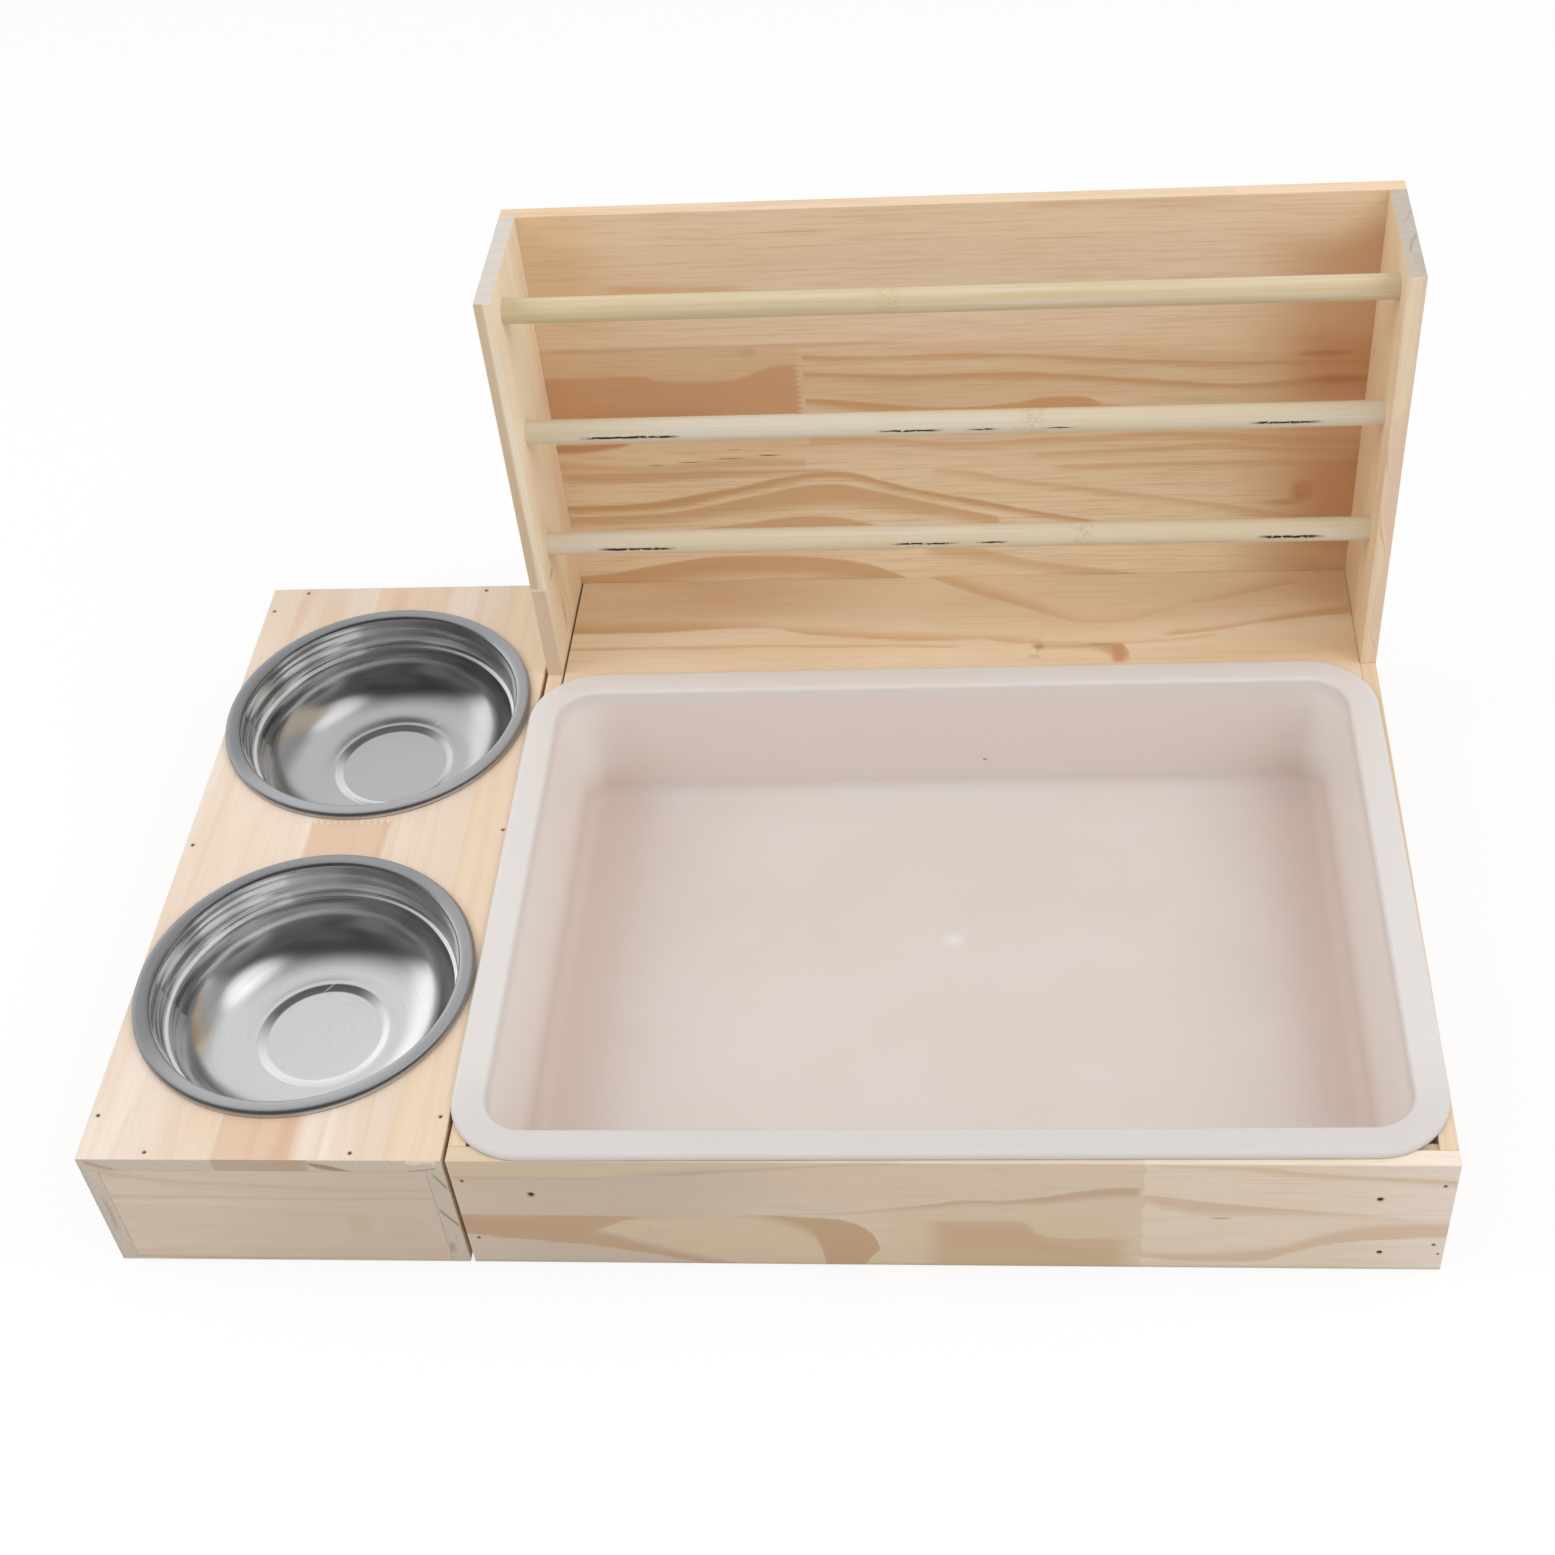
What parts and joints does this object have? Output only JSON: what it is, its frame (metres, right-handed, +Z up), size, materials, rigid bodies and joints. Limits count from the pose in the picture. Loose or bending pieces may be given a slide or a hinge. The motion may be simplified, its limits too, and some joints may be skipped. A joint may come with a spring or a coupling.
{
  "type": "hay feeder box",
  "caption": "Wooden feeding station for small pets: a bowl stand with lift-out steel bowls beside a box with a lift-out plastic tray and a slatted hay rack behind it.",
  "frame": {"origin": "middle of the footprint, on the ground", "axes": "+X to the right along the front, +Y from the front to the rack, +Z up"},
  "size_m": [0.5955, 0.4, 0.302],
  "materials": {
    "pine": "sanded, unfinished",
    "bamboo": "smooth, unfinished",
    "bowl_steel": "spun, satin rim",
    "nail_steel": "dull",
    "milky_plastic": "translucent, satin"
  },
  "bodies": {
    "frame": {"stand_top": "pine", "stand_front": "pine", "stand_back": "pine", "stand_left_side": "pine", "stand_right_side": "pine", "stand_brads": "nail_steel", "box_front": "pine", "box_left_side": "pine", "box_right_side": "pine", "block_front_left": "pine", "block_front_right": "pine", "block_rear_left": "pine", "block_rear_right": "pine", "block_nails": "nail_steel", "box_brads": "nail_steel", "rack_back": "pine", "rack_left_panel": "pine", "rack_right_panel": "pine", "rack_shelf": "pine", "rod_bottom": "bamboo", "rod_middle": "bamboo", "rod_top": "bamboo", "panel_pins": "bamboo", "rack_brads": "nail_steel", "joining_screws": "nail_steel", "joining_spacers": "nail_steel"},
    "tray": {"tray": "milky_plastic"},
    "front_bowl": {"bowl_front": "bowl_steel"},
    "rear_bowl": {"bowl_rear": "bowl_steel"}
  },
  "joints": [
    {"name": "tray_lift", "type": "slide", "parent": "frame", "child": "tray", "axis": [0, 0, 1], "range_m": [0, 0.1]},
    {"name": "front_bowl_lift", "type": "slide", "parent": "frame", "child": "front_bowl", "axis": [0, 0, 1], "range_m": [0, 0.06]},
    {"name": "rear_bowl_lift", "type": "slide", "parent": "frame", "child": "rear_bowl", "axis": [0, 0, 1], "range_m": [0, 0.06]}
  ]
}
